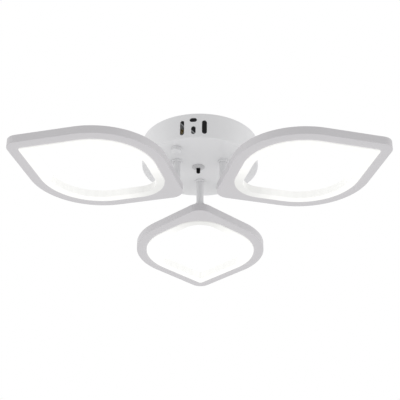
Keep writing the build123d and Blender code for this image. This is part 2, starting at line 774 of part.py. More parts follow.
# Stems and petals, one set at each bearing.
for side, bearing in petal_bearings.items():

    with BuildPart() as stem_tube:
        with BuildSketch(petal_plane(bearing, petal_top)):
            Circle(tube_radius)
            Circle(tube_radius - tube_wall, mode=Mode.SUBTRACT)
        extrude(amount=-canopy_depth - petal_top)
    finish(stem_tube.part, f"stem_tube_{side}")

    with BuildPart() as stem_rod:
        with BuildSketch(petal_plane(bearing, rod_bottom)):
            Circle(rod_radius)
            Circle(rod_bore_radius, mode=Mode.SUBTRACT)
        extrude(amount=rod_top - rod_bottom)
    finish(stem_rod.part, f"stem_rod_{side}")

    with BuildPart() as stem_flange:
        with BuildSketch(petal_plane(bearing, -canopy_depth)):
            Circle(flange_radius)
        extrude(amount=-flange_height)
        fillet(stem_flange.edges().sort_by(Axis.Z)[0], flange_edge_radius)
        with BuildSketch(petal_plane(bearing, -canopy_depth)):
            Circle(tube_radius + running_clearance)
        extrude(amount=-flange_height, mode=Mode.SUBTRACT)
    finish(stem_flange.part, f"stem_flange_{side}")

    with BuildPart() as stem_collar:
        groove_middle = petal_top + collar_height / 2
        with BuildSketch(petal_plane(bearing, petal_top)):
            Circle(collar_radius)
            Circle(tube_radius + running_clearance, mode=Mode.SUBTRACT)
        extrude(amount=collar_height)
        with BuildSketch(petal_plane(bearing, groove_middle - collar_groove / 2)):
            Circle(collar_radius)
            Circle(collar_radius - collar_groove, mode=Mode.SUBTRACT)
        extrude(amount=collar_groove, mode=Mode.SUBTRACT)
    finish(stem_collar.part, f"stem_collar_{side}")

    # Petal frame: flat lower face, outer wall and the posts for the cover's screws.
    with BuildPart() as petal_frame:
        with BuildSketch(petal_plane(bearing, petal_bottom)):
            petal_outline(0)
            face_opening(face_width, mode=Mode.SUBTRACT)
        extrude(amount=petal_wall)
        with BuildSketch(petal_plane(bearing, petal_bottom)):
            petal_outline(0)
            petal_outline(petal_wall, mode=Mode.SUBTRACT)
        extrude(amount=petal_height)
        outer_edges = petal_frame.faces().sort_by(Axis.Z)[0].outer_wire().edges()
        fillet(outer_edges, petal_edge_radius)
        with BuildSketch(petal_plane(bearing, face_top)):
            with Locations(*post_places()):
                Circle(post_radius)
        extrude(amount=cover_bottom - face_top)
        with BuildSketch(petal_plane(bearing, cover_bottom)):
            with Locations(*post_places()):
                Circle(screw_radius + running_clearance)
        extrude(amount=-screw_length, mode=Mode.SUBTRACT)
    finish(petal_frame.part, f"petal_frame_{side}")

    # Root bracket: a plate across the root that turns on the rod.
    with BuildPart() as petal_bracket:
        with BuildSketch(petal_plane(bearing, bracket_bottom)):
            petal_outline(petal_wall)
            root_side(bracket_reach, Mode.INTERSECT)
            Circle(rod_radius + running_clearance, mode=Mode.SUBTRACT)
            with Locations(*bracket_screw_places()):
                Circle(screw_radius + running_clearance, mode=Mode.SUBTRACT)
        extrude(amount=bracket_thickness)
    finish(petal_bracket.part, f"petal_bracket_{side}")

    # Top cover: a flat ring whose inner lip presses on the acrylic.
    with BuildPart() as petal_cover:
        with BuildSketch(petal_plane(bearing, cover_bottom)):
            petal_outline(petal_wall + cover_clearance)
            face_opening(face_width, mode=Mode.SUBTRACT)
            Circle(rod_radius + loose_clearance, mode=Mode.SUBTRACT)
            with Locations(*post_places(), *bracket_screw_places()):
                Circle(screw_radius + hole_clearance, mode=Mode.SUBTRACT)
        extrude(amount=cover_thickness)
        with BuildSketch(petal_plane(bearing, acrylic_top)):
            face_opening(face_width - cover_lip)
            face_opening(face_width, mode=Mode.SUBTRACT)
        extrude(amount=cover_bottom - acrylic_top)
    finish(petal_cover.part, f"petal_cover_{side}")

    # Acrylic ring, with a hole round each post and a step that fills the metal face's opening.
    with BuildPart() as petal_diffuser:
        with BuildSketch(petal_plane(bearing, face_top)):
            leaf(acrylic_outer_inset, acrylic_root_radius, petal_tip_radius - acrylic_outer_inset)
            acrylic_hole()
            with Locations(*post_places()):
                Circle(post_hole_radius, mode=Mode.SUBTRACT)
        extrude(amount=acrylic_thickness)
        with BuildSketch(petal_plane(bearing, acrylic_bottom)):
            face_opening(face_width + cover_clearance)
            acrylic_hole()
        extrude(amount=face_top - acrylic_bottom)
    finish(petal_diffuser.part, f"petal_diffuser_{side}")

    # Diode strip along the inside of the wall, open at the root.
    with BuildPart() as led_strip:
        with BuildSketch(petal_plane(bearing, face_top + strip_height_above_face)):
            petal_outline(petal_wall)
            petal_outline(petal_wall + strip_thickness, mode=Mode.SUBTRACT)
            root_side(strip_start, Mode.SUBTRACT)
        extrude(amount=strip_width)
        chip_bottom = face_top + strip_height_above_face + (strip_width - chip_width) / 2
        with BuildSketch(petal_plane(bearing, chip_bottom)):
            with Locations(*chip_locations()):
                Rectangle(chip_length, chip_depth)
        extrude(amount=chip_width)
    finish(led_strip.part, f"led_strip_{side}")

    with BuildPart() as cover_screws:
        with BuildSketch(petal_plane(bearing, petal_top)):
            with Locations(*post_places(), *bracket_screw_places()):
                Circle(screw_head_radius)
        extrude(amount=screw_head_height)
        fillet(cover_screws.edges().group_by(Axis.Z)[-1], screw_head_height / 2)
        with BuildSketch(petal_plane(bearing, petal_top)):
            with Locations(*post_places(), *bracket_screw_places()):
                Circle(screw_radius)
        extrude(amount=-screw_length)
    finish(cover_screws.part, f"cover_screws_{side}")

    # Lead from the top of the rod's bore down to the near end of the diode strip.
    with BuildPart() as petal_lead:
        strip_inset = petal_wall + strip_thickness
        strip_wall = strip_start + petal_corner_behind - strip_inset * math.sqrt(2)
        lead_floor = face_top + stem_lead_diameter / 2
        strip_middle = face_top + strip_height_above_face + strip_width / 2
        frame_plane = petal_plane(bearing, 0)
        local_route = [
            (0, 0, rod_top),
            (0, 0, lead_floor),
            (*petal_lead_turn, lead_floor),
            (strip_start - petal_lead_last_run, strip_wall - lead_straight / 2, strip_middle),
            (strip_start, strip_wall - stem_lead_diameter / 2, strip_middle),
        ]
        petal_route = [tuple(frame_plane.from_local_coords(Vector(*point))) for point in local_route]
        add_lead(petal_route, stem_lead_diameter)
    finish(petal_lead.part, f"petal_lead_{side}")
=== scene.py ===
# %% [markdown]
# # A ceiling light with three leaf-shaped petals
#
# The light hangs from a round steel canopy. Three short stems come down from it, and each one
# carries a flat petal: a painted metal frame with a ring of milky acrylic inside.

import json
import math

import bmesh
import bpy
import numpy as np
from mathutils import Matrix, Vector


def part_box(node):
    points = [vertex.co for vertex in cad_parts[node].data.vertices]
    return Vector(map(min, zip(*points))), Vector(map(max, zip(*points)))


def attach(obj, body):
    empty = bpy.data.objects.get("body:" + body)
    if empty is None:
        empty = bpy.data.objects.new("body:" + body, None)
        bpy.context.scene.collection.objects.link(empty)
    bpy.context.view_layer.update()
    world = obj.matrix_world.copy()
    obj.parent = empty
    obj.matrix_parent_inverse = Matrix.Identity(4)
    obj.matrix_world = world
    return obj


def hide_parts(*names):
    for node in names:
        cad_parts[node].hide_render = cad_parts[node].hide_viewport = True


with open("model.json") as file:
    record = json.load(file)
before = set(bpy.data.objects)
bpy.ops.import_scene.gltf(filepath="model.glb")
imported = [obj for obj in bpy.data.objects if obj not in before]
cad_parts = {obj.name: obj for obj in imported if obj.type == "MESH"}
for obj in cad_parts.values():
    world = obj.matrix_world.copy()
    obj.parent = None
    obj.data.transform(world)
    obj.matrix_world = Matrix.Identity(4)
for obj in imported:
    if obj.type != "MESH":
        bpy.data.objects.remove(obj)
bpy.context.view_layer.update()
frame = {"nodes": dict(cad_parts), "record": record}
nodes = frame["nodes"]
mm = 0.001
sides = ("rear", "left", "right")

# %% [markdown]
# The picture was taken from below, with a long lens. The camera was found by fitting the
# outlines of the canopy and of the petals, so it is set from angles and a distance, and not by
# eye: 29 degrees under the petals, 1.58 m away, and rolled by half a degree.

# %% Camera under the light
camera_elevation = math.radians(29.0)
camera_azimuth = math.radians(0.49)
camera_roll = math.radians(0.53)
camera_distance = 1.582
camera_target = Vector((0.0004, 0.0, -0.0877))
image_pixels = 400
focal_pixels = 1163

backwards = Vector(
    (
        math.sin(camera_azimuth) * math.cos(camera_elevation),
        -math.cos(camera_azimuth) * math.cos(camera_elevation),
        -math.sin(camera_elevation),
    )
)
rightwards = (-backwards).cross(Vector((0, 0, 1))).normalized()
upwards = backwards.cross(rightwards)
turned_right = math.cos(camera_roll) * rightwards + math.sin(camera_roll) * upwards
turned_up = math.cos(camera_roll) * upwards - math.sin(camera_roll) * rightwards
camera_data = bpy.data.cameras.new("camera")
camera_data.sensor_width = 36
camera_data.lens = focal_pixels * camera_data.sensor_width / image_pixels
camera_data.clip_end = 200
camera = bpy.data.objects.new("camera", camera_data)
bpy.context.scene.collection.objects.link(camera)
turn = Matrix((turned_right, turned_up, backwards)).transposed()
camera.matrix_world = Matrix.Translation(camera_target + camera_distance * backwards) @ turn.to_4x4()
bpy.context.scene.camera = camera
bpy.context.scene.view_settings.view_transform = "Standard"
print("lens:", round(camera_data.lens, 1), "mm")

# %% [markdown]
# A material is a small tree of nodes. These helpers keep the trees short to write: one makes a
# node and fills its sockets, the next wires a pattern that is measured in metres on the piece
# itself, so that a grain of half a millimetre stays half a millimetre everywhere.

# %% Helpers for materials
materials = {}


def new_tree(name):
    """Empty material with its tree and its output node."""
    material = bpy.data.materials.new(name)
    material.use_nodes = True
    tree = material.node_tree
    tree.nodes.clear()
    output = tree.nodes.new("ShaderNodeOutputMaterial")
    materials[name] = material
    return tree, output


def node(tree, kind, settings=None, **sockets):
    """Node of a kind. A socket gets a number or colour, or a link where it is given another socket."""
    made = tree.nodes.new("ShaderNode" + kind)
    for key, value in (settings or {}).items():
        setattr(made, key, value)
    for key, value in sockets.items():
        socket = made.inputs[int(key[1:])] if key[0] == "_" else made.inputs[key.replace("_", " ")]
        if isinstance(value, bpy.types.NodeSocket):
            tree.links.new(value, socket)
        else:
            socket.default_value = value
    return made


def place(tree, output="Object"):
    """Coordinates of the surface on the piece, in metres, or along its own map."""
    return node(tree, "TexCoord").outputs[output]


def noise(tree, size, detail=2.0, stretch=None, output="Object"):
    """Cloudy pattern whose spots are about as large as size, in metres."""
    where = place(tree, output)
    if stretch:
        where = node(tree, "Mapping", Vector=where, Scale=stretch).outputs[0]
    return node(tree, "TexNoise", Vector=where, Scale=1 / size, Detail=detail).outputs["Fac"]


def ranged(tree, value, low, high, start=0.3, end=0.7):
    """The pattern's values from start to end, spread from low to high."""
    made = node(tree, "MapRange", _0=value, _1=start, _2=end, _3=low, _4=high)
    return made.outputs[0]


def product(tree, first, second):
    """One value times another."""
    return node(tree, "Math", {"operation": "MULTIPLY"}, _0=first, _1=second).outputs[0]


def scaled(tree, value, factor, added):
    """The value times a factor, plus something."""
    return node(tree, "Math", {"operation": "MULTIPLY_ADD"}, _0=value, _1=factor, _2=added).outputs[0]


def blended(tree, share, first, second):
    """Colour between two colours."""
    made = node(tree, "Mix", {"data_type": "RGBA"}, _0=share, _6=first, _7=second)
    return made.outputs[2]


def bumped(tree, height, distance, strength=1.0, under=None):
    """Surface direction disturbed by a height pattern; distance is its depth in metres."""
    made = node(tree, "Bump", Height=height, Distance=distance, Strength=strength)
    if under:
        tree.links.new(under, made.inputs["Normal"])
    return made.outputs[0]


def tone(red, green, blue):
    """Colour with full opacity."""
    return (red, green, blue, 1.0)


print("material helpers ready")

# %% [markdown]
# Powder coat is paint that is sprayed on dry and melted in an oven. Close up it has a fine
# orange peel, about half a millimetre across, and it is a little glossier where it ran thick.
# A bump of a few hundredths of a millimetre and two clouds, one for the gloss and one for the
# tone, are enough: anything stronger would look like plaster.

# %% Powder coats


def powder_coat(name, colour, roughness, peel=0.00055, depth=0.000012):
    """Painted metal: even colour, faint cloud of tone, orange peel in the bump and the gloss."""
    tree, output = new_tree(name)
    cloud = ranged(tree, noise(tree, 0.03, 3), 0, 1)
    darker = tone(*[c * 0.985 for c in colour])
    fine = noise(tree, peel, 2)
    shader = node(
        tree,
        "BsdfPrincipled",
        Base_Color=blended(tree, cloud, tone(*colour), darker),
        Roughness=ranged(tree, noise(tree, 0.004, 3), roughness - 0.03, roughness + 0.05),
        Normal=bumped(tree, fine, depth, 0.6),
    )
    tree.links.new(shader.outputs[0], output.inputs[0])
    print("powder coat:", name, colour)


powder_coat("white_paint", (0.74, 0.74, 0.75), 0.42)
powder_coat("petal_paint", (0.60, 0.588, 0.604), 0.45)
powder_coat("nut_paint", (0.72, 0.72, 0.73), 0.3, peel=0.0009)

# %% [markdown]
# The acrylic is cast with a white pigment. Light from the diodes enters its outer edge and
# comes out all over, so its face glows and hides the shadow of the frame. A real volume would
# be slow and noisy; a pale base with a steady glow and a smooth, glossy skin reads the same.
# The glow is a touch weaker between two diodes, and it is weaker towards the stem. The piece's
# own map carries both distances. A lit ring is brighter than the white of a picture, so its glow
# counts for more on the surfaces that it lights.

# %% Milky acrylic
diode_pitch = 16.7 * mm
dim_reach = 24 * mm
full_reach = 80 * mm
dim_share = 0.62
glow = 0.5
glow_between_diodes = 0.485
lamp_gain = 2.2


def milky_acrylic():
    """Glowing white plastic; u of its map runs round the ring, v away from the stem, in metres."""
    tree, output = new_tree("milky_acrylic")
    waves = (math.pi / diode_pitch, 0, 0)
    along = node(tree, "Mapping", Vector=place(tree, "UV"), Scale=waves).outputs[0]
    wave = node(tree, "TexWave", {"wave_profile": "SIN"}, Vector=along, Scale=0.1).outputs["Fac"]
    away = node(tree, "SeparateXYZ", Vector=place(tree, "UV")).outputs["Y"]
    # Glow weaker towards the stem, by the distance from it along the map.
    stem_falloff = node(
        tree,
        "MapRange",
        {"interpolation_type": "SMOOTHSTEP"},
        _0=away,
        _1=dim_reach,
        _2=full_reach,
        _3=dim_share,
        _4=1.0,
    ).outputs[0]
    cloud = ranged(tree, noise(tree, 0.05, 2), 0.99, 1.0)
    falls_on = node(tree, "LightPath").outputs["Is Diffuse Ray"]
    cloud = product(tree, cloud, scaled(tree, falls_on, lamp_gain - 1, 1.0))
    wave = ranged(tree, wave, glow_between_diodes, glow)
    shader = node(
        tree,
        "BsdfPrincipled",
        Base_Color=tone(0.5, 0.498, 0.485),
        Roughness=ranged(tree, noise(tree, 0.01, 2), 0.16, 0.24),
        Emission_Color=tone(1.0, 1.0, 0.985),
        Emission_Strength=product(tree, product(tree, wave, cloud), stem_falloff),
        IOR=1.49,
    )
    tree.links.new(shader.outputs[0], output.inputs[0])


milky_acrylic()
print("acrylic made")

# %% [markdown]
# The hidden hardware is zinc plate: steel with a thin blue-white coat and faint drawing marks.
# Its grey, the brown of the brass and the near black of the terminal block are kept darker than
# the bare materials as painted shade for the dim inside that the vents look into. Moulded plastics
# are plain with a fine spark-eroded grain. Each gets its own small tree, so that the open side of
# the canopy is as convincing as the side that faces the room.

# %% Metals and plastics


def plated_metal(name, colour, roughness, grain=0.0006, stretch=(1, 1, 1)):
    """Metal with a soft cloud of tone, fine marks and uneven gloss."""
    tree, output = new_tree(name)
    cloud = ranged(tree, noise(tree, 0.006, 3), 0, 1)
    darker = tone(*[c * 0.86 for c in colour])
    marks = noise(tree, grain, 3, stretch)
    shader = node(
        tree,
        "BsdfPrincipled",
        Base_Color=blended(tree, cloud, tone(*colour), darker),
        Metallic=1.0,
        Roughness=ranged(tree, marks, roughness - 0.06, roughness + 0.1),
        Normal=bumped(tree, marks, 0.00001, 0.5),
    )
    tree.links.new(shader.outputs[0], output.inputs[0])


def moulded_plastic(name, colour, roughness, grain=0.0004, depth=0.00002, shine=0.5):
    """Plastic with a fine moulded grain and a slight flow pattern in its tone."""
    tree, output = new_tree(name)
    flow = ranged(tree, noise(tree, 0.02, 2), 0, 1)
    darker = tone(*[c * 0.93 for c in colour])
    shader = node(
        tree,
        "BsdfPrincipled",
        Base_Color=blended(tree, flow, tone(*colour), darker),
        Roughness=ranged(tree, noise(tree, 0.002, 2), roughness - 0.05, roughness + 0.05),
        Normal=bumped(tree, noise(tree, grain, 2), depth, 0.5),
        Specular_IOR_Level=shine,
    )
    tree.links.new(shader.outputs[0], output.inputs[0])


# Zinc and brass colours are darkened: painted shade for the dim inside behind the vents.
plated_metal("zinc_steel", (0.55, 0.56, 0.575), 0.34)
plated_metal("brass", (0.50, 0.385, 0.19), 0.38)
moulded_plastic("nylon", (0.80, 0.79, 0.74), 0.5)
# Terminal block near black: painted shade for the dark behind the vents.
moulded_plastic("terminal_plastic", (0.012, 0.012, 0.013), 0.5)
moulded_plastic("driver_plastic", (0.74, 0.74, 0.73), 0.45)
moulded_plastic("bezel_plastic", (0.51, 0.51, 0.52), 0.3, depth=0.000006)
moulded_plastic("dark_lens", (0.003, 0.003, 0.004), 0.3, depth=0.000002, shine=0.08)
moulded_plastic("circuit_board", (0.02, 0.12, 0.04), 0.35)
moulded_plastic("transformer_tape", (0.62, 0.42, 0.03), 0.35)
moulded_plastic("capacitor_sleeve", (0.008, 0.009, 0.018), 0.25)
moulded_plastic("diode_strip", (0.82, 0.80, 0.70), 0.4)
moulded_plastic("white_lead", (0.76, 0.76, 0.75), 0.4)
moulded_plastic("brown_lead", (0.10, 0.035, 0.012), 0.4)
moulded_plastic("green_lead", (0.10, 0.26, 0.04), 0.4)
print("materials:", len(materials))

# %% [markdown]
# Every solid that keeps its own mesh gets the finish of its slot in the record. The pieces
# made below take theirs from the same table.

# %% Finishes on the solids
slot_of = {row["node"]: row["material_slot"] for row in frame["record"]["subparts"]}
for name, solid in nodes.items():
    solid.data.materials.clear()
    solid.data.materials.append(materials[slot_of[name]])
print("finished solids:", len(slot_of))

# %% [markdown]
# A surface here is a grid of points: rows of a profile, columns along a path. numpy works the
# whole grid out at once, and the faces are the grid's squares. Doubled points at a pole or a
# seam are then merged, and the faces are turned round if the volume comes out negative, so
# every piece is closed and faces outwards. Several equal grids can share one mesh, as the nuts
# and screws do.

# %% Grid of points to mesh
smooth_angle = math.radians(38)


def surface(name, points, slot, body, replaced=(), closed_rows=True, closed_columns=True, uv=None):
    """Mesh of one grid of points, rows x columns x 3, or of a stack of them, that rides on a body.
    A square joins row i to i + 1 and column j to j + 1, and the last joins the first where closed.
    """
    grids = points.reshape(-1, *points.shape[-3:])
    count, rows, columns = grids.shape[:3]
    i = np.arange(rows if closed_rows else rows - 1)[:, None]
    j = np.arange(columns if closed_columns else columns - 1)[None, :]
    k = (i + 1) % rows
    m = (j + 1) % columns
    square = np.stack([i * columns + j, i * columns + m, k * columns + m, k * columns + j], -1)
    square = square.reshape(-1, 4)
    faces = (square[None] + np.arange(count)[:, None, None] * rows * columns).reshape(-1, 4)
    flat = grids.reshape(-1, 3)
    a, b, c, d = (flat[faces[:, n]] - flat.mean(0) for n in range(4))
    volume = np.einsum("ij,ij->", a, np.cross(b, c)) + np.einsum("ij,ij->", a, np.cross(c, d))
    if volume < 0:
        faces = faces[:, ::-1]
    mesh = bpy.data.meshes.new(name)
    mesh.from_pydata(flat.tolist(), [], faces.tolist())
    if uv is not None:
        layer = mesh.uv_layers.new(name="along")
        layer.data.foreach_set("uv", uv.reshape(-1, 2)[faces.reshape(-1)].astype(np.float32).ravel())
    work = bmesh.new()
    work.from_mesh(mesh)
    bmesh.ops.remove_doubles(work, verts=work.verts, dist=1e-7)
    bmesh.ops.dissolve_degenerate(work, edges=work.edges, dist=1e-8)
    work.to_mesh(mesh)
    work.free()
    mesh.polygons.foreach_set("use_smooth", np.ones(len(mesh.polygons), bool))
    mesh.set_sharp_from_angle(angle=smooth_angle)
    mesh.materials.append(materials[slot])
    piece = bpy.data.objects.new(name, mesh)
    bpy.context.scene.collection.objects.link(piece)
    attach(piece, body)
    if replaced:
        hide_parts(*replaced)
    return piece


print("grid helper ready")

# %% [markdown]
# Real edges are never sharp: paint rounds them, moulds have draft, and saw cuts are broken by
# hand. A profile is therefore drawn with plain corners first and eased afterwards. Each corner
# becomes a short parabola, and one more row on either side of it keeps the flats truly flat in
# the shading.

# %% Eased profiles
holding = 0.05 * mm


def eased(corners, radii, steps=4, closed=True):
    """Profile with softened corners: each corner becomes a short parabola that starts and ends
    its radius away from it along the two sides. Corners are rows of (across, height)."""
    corners = np.asarray(corners, float)
    radii = np.broadcast_to(np.asarray(radii, float), len(corners))[:, None]
    back = np.roll(corners, 1, 0) - corners
    ahead = np.roll(corners, -1, 0) - corners
    back = back / np.linalg.norm(back, axis=1, keepdims=True)
    ahead = ahead / np.linalg.norm(ahead, axis=1, keepdims=True)
    start = corners + back * radii
    end = corners + ahead * radii
    t = np.linspace(0, 1, steps + 1)[None, :, None]
    curve = (1 - t) ** 2 * start[:, None] + 2 * t * (1 - t) * corners[:, None] + t**2 * end[:, None]
    before, after = (start + back * holding)[:, None], (end + ahead * holding)[:, None]
    held = np.concatenate([before, curve, after], 1)
    if closed:
        return held.reshape(-1, 2)
    return np.vstack([corners[:1], held[1:-1].reshape(-1, 2), corners[-1:]])


print("rows in an eased square:", len(eased([(0, 0), (1, 0), (1, 1), (0, 1)], 0.1)))

# %% [markdown]
# A petal's outline is a circle of 93.3 mm that runs out in two corners, like a leaf: the side
# lines touch the circle and meet at a right angle, and both corners are rounded. Seen from its
# centre, the outline has one radius in each direction, so it is a plain function of the angle,
# and every inner edge is the same function with another inset.

# %% Outline of a petal
stem_radius = 36.5 * mm
stem_bearings = [90.0, 210.0, 330.0]
petal_bearings = dict(zip(sides, np.radians(stem_bearings)))
leaf_circle = 93.3 * mm
corner_behind = 14.8 * mm
leaf_centre = leaf_circle * math.sqrt(2) - corner_behind
root_round = 18.2 * mm
tip_round = 15.7 * mm
face_width = 14.5 * mm
face_root_round = 42.4 * mm
face_tip_round = 4.2 * mm


def leaf(angle, circle, tip, root):
    """Radius about the leaf's centre: the circle itself beside the centre, and towards the tip
    and the root the 45 degree tangent lines, circle * sqrt 2 / (cos + sin), with a round end."""
    angle, circle, tip, root = np.broadcast_arrays(angle, circle, tip, root)
    folded = np.abs((angle + np.pi) % (2 * np.pi) - np.pi)
    off_axis = np.minimum(folded, np.pi - folded)
    ending = np.where(folded < np.pi / 2, tip, root)
    line = circle * math.sqrt(2) / (np.cos(off_axis) + np.sin(off_axis))
    middle = (circle - ending) * math.sqrt(2)
    inside = np.maximum(ending**2 - (middle * np.sin(off_axis)) ** 2, 0)
    rounded = middle * np.cos(off_axis) + np.sqrt(inside)
    limit = np.arctan2(ending / math.sqrt(2), middle + ending / math.sqrt(2))
    radius = np.where(off_axis > np.pi / 4, circle, line)
    return np.where(off_axis < limit, rounded, radius)


def outer_edge(angle, inset):
    """Outer edge of the petal, drawn inwards by an inset."""
    return leaf(angle, leaf_circle - inset, tip_round - inset, root_round - inset)


def face_opening(angle, inset):
    """Inner edge of the metal face; a smaller inset moves it outwards as a parallel line."""
    grow = face_width - inset
    return leaf(angle, leaf_circle - inset, face_tip_round + grow, face_root_round + grow)


def around():
    """Angles about the leaf's centre, crowded where the outline bends: at the tip, the root and
    the ends of the circle's two side arcs."""
    knots = np.radians([0, 1.6, 5.4, 12, 43, 47, 90, 133, 137, 158, 174, 180])
    counts = [12, 14, 8, 14, 8, 44, 44, 8, 24, 40, 36]
    spans = zip(knots, knots[1:], counts)
    half = np.concatenate([np.linspace(a, b, n, endpoint=False) for a, b, n in spans])
    return np.concatenate([half, np.pi + (np.pi - np.append(half[1:], np.pi)[::-1])])


def laid_out(bearing, angle, radius, height):
    """Points at an angle and radius about the leaf's centre, turned to the petal's bearing."""
    x = stem_radius + leaf_centre + radius * np.cos(angle)
    y = radius * np.sin(angle)
    height = np.broadcast_to(height, x.shape)
    cosine, sine = np.cos(bearing), np.sin(bearing)
    return np.stack([x * cosine - y * sine, x * sine + y * cosine, height], -1)


angles = around()
print("points round a petal:", len(angles))

# %% [markdown]
# The frame is one folded and welded sheet: a wall that stands on a flat face. We carry its
# cross-section round the outline. The wall's rows follow the outer edge and the face's inner
# rows follow the opening, because the opening is wider at the root. The lower edge is rolled,
# and all other edges are only broken by the paint.

# %% Painted frames
petal_bottom = -88.0 * mm
petal_top = petal_bottom + 11.2 * mm
wall = 1.2 * mm
face_top = petal_bottom + wall
rolled_edge = 0.8 * mm
paint_edge = 0.25 * mm

frame_profile = eased(
    [
        (0, petal_top),
        (0, petal_bottom),
        (face_width, petal_bottom),
        (face_width, face_top),
        (wall, face_top),
        (wall, petal_top),
    ],
    [paint_edge, rolled_edge, paint_edge, paint_edge, paint_edge, paint_edge],
)


def frame_radius(angle, inset):
    """Outer edge for the wall's rows, opening for the face's inner rows."""
    edge = outer_edge(angle, np.minimum(inset, 3 * mm))
    return np.where(inset < face_width / 2, edge, face_opening(angle, inset))


for side, bearing in petal_bearings.items():
    inset, height = frame_profile[:, :1], frame_profile[:, 1:]
    points = laid_out(bearing, angles[None, :], frame_radius(angles[None, :], inset), height)
    body, solid = f"petal_{side}", f"petal_frame_{side}"
    piece = surface(f"painted_frame_{side}", points, "petal_paint", body, [solid])
print("frame faces:", len(piece.data.polygons))

# %% [markdown]
# The acrylic ring has a step: its rim lies inside the frame on the metal face, and its middle
# fills the opening and stands 1.2 mm out of it. The rim follows the wall, the step follows the
# face's opening, and the hole is a smaller leaf of its own with a rounder root. The saw-cut
# edges are polished, which rounds them by about half a millimetre.

# %% Milky rings
ring_bottom = petal_bottom - 1.2 * mm
ring_top = face_top + 8.0 * mm
ring_outer = wall + 3.0 * mm
ring_step = face_width + 0.15 * mm
ring_inner = face_width + 11.9 * mm
ring_root_round = 49.0 * mm
hole_root_round = 28.0 * mm
hole_tip_round = 3.0 * mm

ring_profile = eased(
    [
        (ring_outer, ring_top),
        (ring_outer, face_top),
        (ring_step, face_top),
        (ring_step, ring_bottom),
        (ring_inner, ring_bottom),
        (ring_inner, ring_top),
    ],
    [0.6 * mm, 0.3 * mm, 0.1 * mm, 0.5 * mm, 0.7 * mm, 0.6 * mm],
)


def ring_radius(angle, inset):
    """Leaf with a wide root for the rim, the face's opening for the step, a smaller leaf for the
    hole."""
    grow = ring_inner - inset
    rim_tip, rim_root = np.maximum(tip_round - inset, mm), ring_root_round - (inset - ring_outer)
    rim = leaf(angle, leaf_circle - inset, rim_tip, rim_root)
    hole = leaf(angle, leaf_circle - inset, hole_tip_round + grow, hole_root_round + grow)
    outwards = np.where(inset < (ring_outer + ring_step) / 2, rim, face_opening(angle, inset))
    return np.where(inset < (ring_step + ring_inner) / 2, outwards, hole)


for side, bearing in petal_bearings.items():
    inset, height = ring_profile[:, :1], ring_profile[:, 1:]
    radius = ring_radius(angles[None, :], inset)
    points = laid_out(bearing, angles[None, :], radius, height)
    u = np.broadcast_to(angles[None, :] * leaf_circle, radius.shape)
    away = np.hypot(leaf_centre + radius * np.cos(angles), radius * np.sin(angles))
    map_points = np.stack([u, away], -1)
    body, solid = f"petal_{side}", f"petal_diffuser_{side}"
    piece = surface(f"milky_ring_{side}", points, "milky_acrylic", body, [solid], uv=map_points)
print("ring faces:", len(piece.data.polygons))

# %% [markdown]
# Tubes, flanges, collars, washers, dome nuts and the receiver are all turned: one profile spun
# round an axis. A pierced piece has a closed loop of radius and height as its profile, so its
# bore is part of it. A piece without a bore has a profile that starts and ends on the axis,
# where its points fall together in a pole.

# %% Turned pieces


def repeated(shape, middles):
    """Stack of one grid of points, moved to each middle in plan."""
    middles = np.reshape(middles, (-1, 2))
    middles = np.hstack([middles, np.zeros((len(middles), 1))])
    return shape[None] + middles[:, None, None, :]


def spun(name, middles, corners, radii, slot, body, replaced=(), columns=96, steps=4, closed=True):
    """Profile of (radius, height) corners spun round the upright axis through each middle."""
    profile = eased(corners, radii, steps, closed)
    turn = np.linspace(0, 2 * np.pi, columns, endpoint=False)[None, :]
    radius, height = profile[:, :1], profile[:, 1:]
    level = np.broadcast_to(height, (len(profile), columns))
    circle = np.stack([radius * np.cos(turn), radius * np.sin(turn), level], -1)
    return surface(name, repeated(circle, middles), slot, body, replaced, closed_rows=closed)


def upright(name):
    """Middle, outer radius, bottom and top of a round solid."""
    low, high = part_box(name)
    return ((low + high) / 2)[:2], (high.x - low.x) / 2, low.z, high.z


def around_axis(radius, bearings):
    """Points at a radius from the light's axis, at bearings in degrees."""
    bearings = np.radians(bearings)
    return radius * np.stack([np.cos(bearings), np.sin(bearings)], -1)


bar_bearing = 59.3
stud_bearings = [bar_bearing, bar_bearing + 180]
stem_places = around_axis(stem_radius, stem_bearings)
stud_places = around_axis(61.7 * mm, stud_bearings)
print("stems and studs:", len(stem_places), len(stud_places))

# %% [markdown]
# A stem shows three of them. The tube is drawn steel, cut square at both ends. The flange
# covers its hole in the canopy, and the collar below has a groove, the mark of the gap between
# its two halves.

# %% Stems
for side in sides:
    middle, outside, bottom, top = upright(f"stem_tube_{side}")
    bore = outside - 0.85 * mm
    corners = [(bore, top), (outside, top), (outside, bottom), (bore, bottom)]
    spun(f"tube_{side}", middle, corners, 0.15 * mm, "white_paint", "canopy", [f"stem_tube_{side}"])
    bore = outside + 0.05 * mm
    middle, outside, bottom, top = upright(f"stem_flange_{side}")
    corners = [(bore, top), (outside, top), (outside, bottom), (bore, bottom)]
    radii = [0.05 * mm, 0.2 * mm, 0.8 * mm, 0.3 * mm]
    spun(f"flange_{side}", middle, corners, radii, "white_paint", "canopy", [f"stem_flange_{side}"])
    middle, outside, bottom, top = upright(f"stem_collar_{side}")
    groove = 0.5 * mm
    upper, lower = (bottom + top + groove) / 2, (bottom + top - groove) / 2
    corners = [
        (bore, top),
        (outside, top),
        (outside, upper),
        (outside - groove, upper),
        (outside - groove, lower),
        (outside, lower),
        (outside, bottom),
        (bore, bottom),
    ]
    radii = np.array([0.2, 0.5, 0.1, 0.1, 0.1, 0.1, 0.3, 0.2]) * mm
    spun(f"collar_{side}", middle, corners, radii, "white_paint", "canopy", [f"stem_collar_{side}"])
print("stems dressed")

# %% [markdown]
# Under the canopy sit the two dome nuts and the receiver. A dome nut is a round skirt that
# ends in a shallow arc, and the stud goes up its blind bore. The receiver's bezel is a cone
# with a soft rim, and the eye in its mouth is a black rod with a rounded end, clear to
# infrared only.

